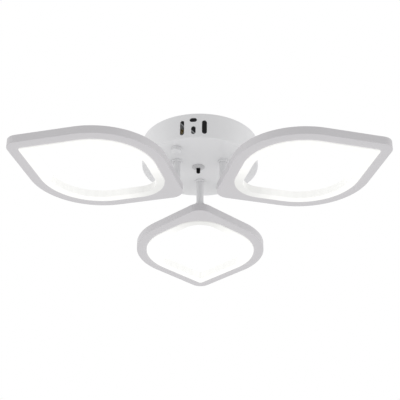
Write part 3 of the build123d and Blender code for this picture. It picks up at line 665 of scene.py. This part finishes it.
# %% Dome nuts and receiver
_, _, dome_low, dome_top = upright("dome_nuts")
dome_radius, dome_rise, bore = 6.3 * mm, 2.0 * mm, 2.05 * mm
arc_radius = (dome_radius**2 + dome_rise**2) / (2 * dome_rise)
across = np.linspace(dome_radius, 0, 14)
arc = np.stack([across, dome_low + arc_radius - np.sqrt(arc_radius**2 - across**2)], -1)
bore_end = dome_top - 5.55 * mm
corners = np.vstack([[(0, bore_end), (bore, bore_end), (bore, dome_top), (dome_radius, dome_top)], arc])
radii = np.array([0, 0.2, 0.2, 0.2, 0.35] + [0.0] * (len(arc) - 1)) * mm
spun(
    "stud_dome_nuts",
    stud_places,
    corners,
    radii,
    "nut_paint",
    "canopy",
    ["dome_nuts"],
    columns=64,
    closed=False,
)

middle, bezel_outside, bezel_low, bezel_top = upright("receiver_bezel")
_, eye_radius, eye_low, eye_top = upright("receiver_eye")
neck, mouth, bore = 4.9 * mm, 4.0 * mm, eye_radius + 0.2 * mm
floor_under = -37.0 * mm
corners = [
    (bore, bezel_top),
    (neck, bezel_top),
    (neck, floor_under),
    (bezel_outside, floor_under),
    (bezel_outside, floor_under - 0.75 * mm),
    (mouth, bezel_low),
    (bore, bezel_low),
]
radii = np.array([0.2, 0.3, 0.2, 0.1, 0.3, 0.4, 0.2]) * mm
spun("bezel", middle, corners, radii, "bezel_plastic", "canopy", ["receiver_bezel"])
fall, eye_dome = np.linspace(0, np.pi / 2, 16), 1.8 * mm
dome = np.stack([eye_radius * np.cos(fall) ** 0.8, eye_low + eye_dome * (1 - np.sin(fall))], -1)
corners = np.vstack([[(0, eye_top), (eye_radius, eye_top)], dome])
radii = np.array([0, 0.2] + [0.0] * len(dome)) * mm
spun("eye", middle, corners, radii, "dark_lens", "canopy", ["receiver_eye"], columns=48, closed=False)
print("receiver and dome nuts dressed")

# %% [markdown]
# Each stem is held by a hollow threaded rod, a washer and a nut inside the canopy. A thread is
# a ridge that climbs by one pitch in each turn, so the rod's radius is a zigzag of its height
# and its angle together. A nut is a six-sided prism cut by a cone: its top slopes down to the
# corners, and the flats end in curved lines, which is what tells a nut from a plain block.

# %% Threads and nuts


def zigzag(height, turn, pitch):
    """From 0 in the groove to 1 on the ridge: the distance from the nearest groove, where the
    groove's height is the turn's share of a pitch."""
    return 1 - np.abs(2 * ((height / pitch - turn / (2 * np.pi)) % 1) - 1)


def threaded_rod(name, middle, outside, bore, bottom, top, pitch, depth, replaced, columns=36):
    """Hollow rod: rows run up its threaded outside and down its plain bore."""
    turn = np.linspace(0, 2 * np.pi, columns, endpoint=False)[None, :]
    height = np.arange(bottom + pitch / 2, top - pitch / 2, pitch / 4)[:, None]
    ridge = outside - depth * (1 - zigzag(height, turn, pitch))
    plain = np.ones_like(turn)
    hollow, root = bore * plain, (outside - depth) * plain
    radius = np.vstack([hollow, root, ridge, root, hollow])
    level = np.vstack([[bottom], [bottom], height, [top], [top]]) * plain
    rod = np.stack([middle[0] + radius * np.cos(turn), middle[1] + radius * np.sin(turn), level], -1)
    return surface(name, rod, "zinc_steel", "canopy", replaced)


def hexagon_nuts(name, middles, bearings, bottom, top, flats, bore, replaced):
    """Nuts: six-sided, both ends cut by a 30 degree cone that starts just inside the flats."""
    turn = np.linspace(0, 2 * np.pi, 48, endpoint=False)
    edge = flats / 2 / np.cos(turn % (np.pi / 3) - np.pi / 6)
    start = 0.95 * flats / 2
    drop = (edge - start) * math.tan(np.pi / 6)
    plain = np.ones_like(turn)
    hollow, rim, low, high = bore * plain, start * plain, bottom * plain, top * plain
    radius = np.stack([hollow, hollow, rim, edge, edge, rim])
    level = np.stack([low, high, high, top - drop, bottom + drop, low])
    turns = turn + np.reshape(np.radians(bearings), (-1, 1, 1))
    middles = np.reshape(middles, (-1, 1, 1, 2))
    x = middles[..., 0] + radius * np.cos(turns)
    y = middles[..., 1] + radius * np.sin(turns)
    nuts = np.stack([x, y, np.broadcast_to(level, x.shape)], -1)
    return surface(name, nuts, "zinc_steel", "canopy", replaced)


for side in sides:
    middle, outside, bottom, top = upright(f"stem_rod_{side}")
    threaded_rod(
        f"threaded_rod_{side}",
        middle,
        outside,
        bore=2.75 * mm,
        bottom=bottom,
        top=top,
        pitch=1.0 * mm,
        depth=0.45 * mm,
        replaced=[f"stem_rod_{side}"],
    )
_, _, bottom, top = upright("stem_nuts")
hexagon_nuts(
    "rod_nuts",
    stem_places,
    stem_bearings,
    bottom,
    top,
    flats=13 * mm,
    bore=4.0 * mm,
    replaced=["stem_nuts"],
)
_, _, bottom, top = upright("stud_lock_nuts")
hexagon_nuts(
    "lock_nuts",
    stud_places,
    stud_bearings,
    bottom,
    top,
    flats=7 * mm,
    bore=2.05 * mm,
    replaced=["stud_lock_nuts"],
)
_, _, bottom, top = upright("stem_washers")
washer_bore, washer_outside = 4 * mm, 8 * mm
corners = [(washer_bore, top), (washer_outside, top), (washer_outside, bottom), (washer_bore, bottom)]
washer_edge = 0.2 * mm
spun("rod_washers", stem_places, corners, washer_edge, "zinc_steel", "canopy", ["stem_washers"], columns=64)
print("rods, nuts and washers dressed")

# %% [markdown]
# The screws have low domed heads with a cross recess. Head, recess and shank are one grid of
# rings about the screw's axis: the head's height falls with the square of the radius, and
# inside the cross it is pressed down. The studs are the same with a long threaded shank.

# %% Screws


def crossed_screws(name, middles, seat, end, head, rise, shank, pitch, slot, body, replaced, way=1):
    """Screws with cross recess. head and shank are radii, seat and end the heights of the head's
    underside and of the shank's end, and way is 1 where the head is on top and -1 below."""
    turn = np.linspace(0, 2 * np.pi, 48, endpoint=False)[None, :]
    top_radius = np.linspace(0, head, 15)[:, None]
    along, over = np.abs(top_radius * np.cos(turn)), np.abs(top_radius * np.sin(turn))
    soft = 0.05 * head
    arm_width = np.clip((0.15 * head - np.minimum(along, over)) / soft + 0.5, 0, 1)
    arm_length = np.clip((0.58 * head - np.maximum(along, over)) / soft + 0.5, 0, 1)
    dome = rise * (1 - 0.45 * (top_radius / head) ** 2) - 0.55 * rise * arm_width * arm_length
    plain = np.ones_like(turn)
    length = abs(end - seat)
    if pitch:
        run = np.arange(pitch / 4, length - pitch, pitch / 4)[:, None]
        ridge = shank * (1 - 0.11 * (1 - zigzag(run, way * turn, pitch)))
    else:
        run = np.array([[0.5 * mm]])
        ridge = shank * plain
    radii = [top_radius * plain, head * plain, shank * plain, ridge, 0.7 * shank * plain, 0 * plain]
    levels = [dome, 0 * plain, 0 * plain, -run * plain, -length * plain, -length * plain]
    radius, level = np.vstack(radii), np.vstack(levels)
    screw = np.stack([radius * np.cos(turn), radius * np.sin(turn), seat + way * level], -1)
    return surface(name, repeated(screw, middles), slot, body, replaced, closed_rows=False)


def plan_turn(bearing):
    """Matrix that turns rows of plan points from +X to a bearing."""
    return np.array([[math.cos(bearing), math.sin(bearing)], [-math.sin(bearing), math.cos(bearing)]])


post_radius = leaf_circle - (ring_outer + face_width) / 2
post_turns = np.radians([50, 90, 130, -50, -90, -130])
posts = np.stack([leaf_centre + post_radius * np.cos(post_turns), post_radius * np.sin(post_turns)], -1)
bracket = np.array([(6.0, 9.5), (6.0, -9.5)]) * mm
local = np.vstack([[(leaf_centre + post_radius * math.sqrt(2), 0)], posts, bracket]) + [stem_radius, 0]
for side, bearing in petal_bearings.items():
    crossed_screws(
        f"cover_screw_set_{side}",
        local @ plan_turn(bearing),
        seat=petal_top,
        end=petal_top - 6 * mm,
        head=2.3 * mm,
        rise=1.4 * mm,
        shank=1.25 * mm,
        pitch=0,
        slot="zinc_steel",
        body=f"petal_{side}",
        replaced=[f"cover_screws_{side}"],
    )
fine_pitch = 0.7 * mm
crossed_screws(
    "stud_screws",
    stud_places,
    seat=-4.5 * mm,
    end=-42.5 * mm,
    head=3.8 * mm,
    rise=2.4 * mm,
    shank=2.0 * mm,
    pitch=fine_pitch,
    slot="zinc_steel",
    body="canopy",
    replaced=["canopy_studs"],
)
earth_place = around_axis(52 * mm, stud_bearings[1:])
earth_low, earth_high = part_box("earth_screw")
crossed_screws(
    "earthing_screw",
    earth_place,
    seat=earth_low.z + 2.5 * mm,
    end=earth_high.z,
    head=3.6 * mm,
    rise=2.5 * mm,
    shank=2.0 * mm,
    pitch=fine_pitch,
    slot="brass",
    body="canopy",
    replaced=["earth_screw"],
    way=-1,
)
print("screws:", len(local) * 3 + 3)

# %% [markdown]
# The leads inside the light are thin insulated wires. The supply to each petal is a pair that
# is twisted together, the mains wires lie singly. A wire follows a B-spline through the route's
# points: each inner point bends the line as a parabola between the middles of its two runs. The
# strand is a circle carried along, and in a pair its middle also winds round the route.

# %% Wires


def smooth_route(route, count=150):
    """Evenly spaced points on the route's quadratic B-spline."""
    route = np.asarray(route, float) * mm
    middles = (route[1:] + route[:-1]) / 2
    starts = np.vstack([route[:1], middles[1:-1]])[:, None]
    ends = np.vstack([middles[1:-1], route[-1:]])[:, None]
    t = np.linspace(0, 1, 80, endpoint=False)[None, :, None]
    curve = (1 - t) ** 2 * starts + 2 * t * (1 - t) * route[1:-1][:, None] + t**2 * ends
    curve = np.vstack([curve.reshape(-1, 3), route[-1:]])
    length = np.append(0, np.cumsum(np.linalg.norm(np.diff(curve, axis=0), axis=1)))
    even = np.linspace(0, length[-1], count)
    return np.stack([np.interp(even, length, curve[:, axis]) for axis in range(3)], -1), even


def strand(route, radius, offset=0.0, lay=12 * mm, phase=0.0, columns=12):
    """Circle carried along a route. With an offset its middle winds round the route, once in each
    lay, and the two directions across the route come from the route's flattest plane."""
    path, length = smooth_route(route)
    forward = np.gradient(path, axis=0)
    forward /= np.linalg.norm(forward, axis=1, keepdims=True)
    level = np.linalg.svd(path - path.mean(0))[2][2]
    first = np.cross(forward, level)
    first /= np.linalg.norm(first, axis=1, keepdims=True)
    second = np.cross(forward, first)
    wind = (2 * np.pi * length / lay + phase)[:, None]
    centre = path + offset * (np.cos(wind) * first + np.sin(wind) * second)
    ring = np.linspace(0, 2 * np.pi, columns, endpoint=False)[None, :, None]
    tube = centre[:, None] + radius * (np.cos(ring) * first[:, None] + np.sin(ring) * second[:, None])
    cap = np.ones((1, columns, 1))
    return np.vstack([cap * centre[0], tube, cap * centre[-1]])


def twisted_pair(name, route, slot, body, replaced, thickness=2 * mm):
    """Two strands, each half as thick as the pair, half a turn apart."""
    quarter = thickness / 4
    pair = np.stack([strand(route, quarter, quarter, phase=phase) for phase in (0, np.pi)])
    return surface(name, pair, slot, body, replaced, closed_rows=False)


pair_routes = {
    "receiver_lead": [
        (-2.3, -2.3, -31.4),
        (-2.3, -2.3, -25.4),
        (-11.32, 20.39, -25.4),
        (-18.85, 24.74, -25.4),
    ],
    "stem_lead_rear": [(0, 36.5, -28), (0, 36.5, -19.5), (-9.05, 41.72, -19.5)],
    "stem_lead_left": [(-31.61, -18.25, -28), (-31.61, -18.25, -19.5), (-40.66, -13.02, -19.5)],
    "stem_lead_right": [
        (31.61, -18.25, -28),
        (31.61, -18.25, -19.5),
        (-23.32, -0.39, -19.5),
        (-30.85, 3.96, -19.5),
    ],
}
for name, route in pair_routes.items():
    twisted_pair(f"{name}_pair", route, "white_lead", "canopy", [name])
petal_route = np.array(
    [
        (0, 0, -28),
        (0, 0, -60),
        (0, 0, -81),
        (0, 0, -85.8),
        (8, 11, -85.8),
        (12, 22.54, -82.8),
        (14, 25.54, -82.8),
    ]
)
for side, bearing in petal_bearings.items():
    plan = (petal_route[:, :2] + [stem_radius / mm, 0]) @ plan_turn(bearing)
    route = np.hstack([plan, petal_route[:, 2:]])
    lead = f"petal_lead_{side}"
    twisted_pair(f"{lead}_pair", route, "white_lead", f"petal_{side}", [lead])
print("pairs:", len(pair_routes) + len(petal_bearings))

# %% [markdown]
# The mains wires and the earth wire are single and a little thicker. The earth wire ends in a
# ring tag of brass, stamped from sheet: an eye with a tail, whose outline is again one
# radius for each direction, the eye's own or that of the straight tail.

# %% Mains and earth wires
mains_routes = [
    [(-3.3, -42), (-12, -42), (-28, -35.5), (-47, -35), (-61.14, -25.9), (-56.79, -18.36)],
    [(-3.3, -50), (-12, -50), (-27, -44), (-47, -44.5), (-63, -36), (-67.2, -22.4), (-62.85, -14.86)],
]
mains_height = -29
wire_radius = 1.1 * mm
mains_paths = [[(x, y, mains_height) for x, y in route] for route in mains_routes]
mains = np.stack([strand(path, wire_radius, columns=16) for path in mains_paths])
surface("mains_wires", mains, "brown_lead", "canopy", ["mains_leads"], closed_rows=False)
earth_route = [
    (-17.95, -49.82, -7.1),
    (-11.93, -53.39, -7.1),
    (-15, -58.5, -19),
    (-12, -58, -29),
    (-3.3, -58, -29),
]
earth = strand(earth_route, wire_radius, columns=16)
earth_wire = surface("earth_wire", earth, "green_lead", "canopy", closed_rows=False)
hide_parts("earth_lead")

tail_bearing = math.radians(bar_bearing - 90)
tail_length, tail_half_width, tail_half_angle = 12 * mm, 2 * mm, 31.76
tag_hole, tag_eye, tag_top, tag_thickness = 2.05 * mm, 3.8 * mm, -6.0 * mm, 0.8 * mm
tail_turn = np.linspace(-tail_half_angle, tail_half_angle, 41)
eye_turn = np.linspace(tail_half_angle, 360 - tail_half_angle, 60)[1:-1]
tag_turn = np.radians(np.concatenate([tail_turn, eye_turn]))[None, :]
with np.errstate(divide="ignore"):
    tail = np.minimum(tail_length / np.cos(tag_turn), tail_half_width / np.abs(np.sin(tag_turn)))
on_tail = np.abs((tag_turn + np.pi) % (2 * np.pi) - np.pi) < math.radians(tail_half_angle + 0.01)
tag_edge = np.where(on_tail, tail, tag_eye)
radius = tag_hole + np.array([0, 0, 1, 1])[:, None] * (tag_edge - tag_hole)
level = np.broadcast_to(tag_top - tag_thickness * np.array([0, 1, 1, 0])[:, None], radius.shape)
turn = tag_turn + tail_bearing
points = np.stack([radius * np.cos(turn), radius * np.sin(turn), level], -1)
surface("earth_ring_tag", repeated(points, earth_place), "brass", "canopy")
print("single wires:", len(mains_routes) + 1)

# %% [markdown]
# The driver's lid is a moulded plate with soft corners and a shallow field in its middle. Its
# outline is a rectangle with eased corners, and the profile shrinks that outline step by step:
# up the side, over the rim, down into the field, and on to the middle line, where the two long
# sides meet and close the piece.

# %% Driver's lid
lid_low, lid_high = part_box("driver_lid")
lid_middle = ((lid_low + lid_high) / 2)[:2]
lid_top, lid_bottom = lid_high.z, lid_high.z - 1.5 * mm
half_depth, half_length = 17 * mm, 45 * mm
rim_width, field_depth = 3 * mm, 0.4 * mm
lid_turn = math.radians(150)

outline = eased(
    [
        (half_depth, -half_length),
        (half_depth, half_length),
        (-half_depth, half_length),
        (-half_depth, -half_length),
    ],
    1.5 * mm,
    steps=8,
)
lid_profile = eased(
    [
        (half_depth, lid_bottom),
        (0, lid_bottom),
        (0, lid_top),
        (rim_width, lid_top),
        (rim_width + field_depth, lid_top - field_depth),
        (half_depth, lid_top - field_depth),
    ],
    np.array([0, 0.1, 0.5, 0.15, 0.15, 0]) * mm,
    closed=False,
)
inset = lid_profile[:, :1]
across = outline[None, :, 0] * (half_depth - inset) / half_depth
along = outline[None, :, 1] * (half_length - inset) / half_length
x = lid_middle[0] + across * math.cos(lid_turn) - along * math.sin(lid_turn)
y = lid_middle[1] + across * math.sin(lid_turn) + along * math.cos(lid_turn)
points = np.stack([x, y, np.broadcast_to(lid_profile[:, 1:], x.shape)], -1)
surface("driver_cover_plate", points, "driver_plastic", "canopy", ["driver_lid"], closed_rows=False)
print("lid points:", points.shape[0] * points.shape[1])

# %% [markdown]
# The light of the picture is even and comes from all round. It is a little weaker from the
# front than from the sides, above and below, which is why the front of the canopy is a shade
# darker than its flanks. A large dome of light does that: its strength is a constant plus a
# share of the squared sideways and upward parts of the direction. The camera itself sees plain
# white behind the light. A pale floor far below catches the shadow and fades into that white.

# %% Light and floor
dome_base = 0.42
dome_sides = 0.78
dome_rise = 0.72
floor_height = -2.4
floor_reach = 60.0
fade_start = 1.5
fade_end = 6.0


def greater(tree, first, second):
    """The larger of two values."""
    return node(tree, "Math", {"operation": "MAXIMUM"}, _0=first, _1=second).outputs[0]


def between(tree, share, first, second):
    """Shader between two shaders."""
    return node(tree, "MixShader", _0=share, _1=first.outputs[0], _2=second.outputs[0])


world = bpy.data.worlds.new("studio")
bpy.context.scene.world = world
world.use_nodes = True
tree = world.node_tree
tree.nodes.clear()
path = node(tree, "LightPath")
seen = greater(tree, path.outputs["Is Camera Ray"], path.outputs["Is Glossy Ray"])
seen = greater(tree, seen, path.outputs["Is Transmission Ray"])
direction = node(tree, "SeparateXYZ", Vector=place(tree, "Generated"))
upward = product(tree, direction.outputs["Z"], direction.outputs["Z"])
sideways = product(tree, direction.outputs["X"], direction.outputs["X"])
dome = scaled(tree, upward, dome_rise, dome_base)
dome = scaled(tree, sideways, dome_sides, dome)
strength = node(tree, "Mix", {"data_type": "FLOAT"}, _0=seen, _2=dome, _3=1.0)
shine = node(tree, "Background", Color=tone(1, 1, 1), Strength=strength.outputs[0])
sky = tree.nodes.new("ShaderNodeOutputWorld")
tree.links.new(shine.outputs[0], sky.inputs[0])

tree, output = new_tree("floor_paper")
spot = node(tree, "VectorMath", {"operation": "LENGTH"}, _0=place(tree)).outputs["Value"]
smooth = {"interpolation_type": "SMOOTHSTEP"}
fade = node(tree, "MapRange", smooth, _0=spot, _1=fade_start, _2=fade_end, _3=0.0, _4=1.0).outputs[0]
grain = ranged(tree, noise(tree, 0.003, 3), 0, 1)
paper_tone = blended(tree, grain, tone(0.90, 0.90, 0.90), tone(0.88, 0.88, 0.88))
paper = node(tree, "BsdfDiffuse", Color=paper_tone)
bright = node(tree, "Emission", Color=tone(1, 1, 1), Strength=1.0)
both = between(tree, fade, paper, bright)
tree.links.new(both.outputs[0], output.inputs[0])
floor_mesh = bpy.data.meshes.new("floor")
far, near = floor_reach, -floor_reach
floor_corners = [(near, near, 0), (far, near, 0), (far, far, 0), (near, far, 0)]
floor_mesh.from_pydata(floor_corners, [], [(0, 1, 2, 3)])
floor_mesh.materials.append(materials["floor_paper"])
floor_sheet = bpy.data.objects.new("floor", floor_mesh)
floor_sheet.location.z = floor_height
floor_sheet.visible_diffuse = False
floor_sheet.visible_glossy = False
floor_sheet.visible_shadow = False
bpy.context.scene.collection.objects.link(floor_sheet)
print("dome and floor set")

# %% [markdown]
# In use the canopy's open side lies against the ceiling, so the vents look into the dark. The
# ceiling would hide everything from above, so only the disc of it over the canopy is here. It
# is a piece of the stage. Its lower side is painted shade, a near-black glow for the dark inside
# the canopy; its upper side is clear, and half of the light comes through it, so that the inside
# can still be seen from above.

# %% Shade over the canopy
tree, output = new_tree("ceiling_shade")
path = node(tree, "LightPath")
facing = node(tree, "NewGeometry")
let_in = 0.5
unseen = scaled(tree, path.outputs["Is Camera Ray"], -let_in, let_in)
clear = greater(tree, facing.outputs["Backfacing"], unseen)
# Painted shade: the near black that the lower side shows in place of the ceiling in shadow.
dark = node(tree, "Emission", Color=tone(0.017, 0.017, 0.018), Strength=1.0)
through = node(tree, "BsdfTransparent")
both = between(tree, clear, dark, through)
tree.links.new(both.outputs[0], output.inputs[0])

shade_radius = 78.9 * mm
shade_height = 0.05 * mm
shade_corners = 96
turn = np.linspace(0, 2 * np.pi, shade_corners, endpoint=False)
level = np.full(shade_corners, shade_height)
rim = np.stack([shade_radius * np.cos(turn), shade_radius * np.sin(turn), level], -1)
shade_mesh = bpy.data.meshes.new("ceiling_shade")
shade_mesh.from_pydata(rim.tolist(), [], [list(range(shade_corners - 1, -1, -1))])
shade_mesh.materials.append(materials["ceiling_shade"])
shade = bpy.data.objects.new("ceiling_shade", shade_mesh)
bpy.context.scene.collection.objects.link(shade)
print("shade faces down:", shade_mesh.polygons[0].normal.z < 0)
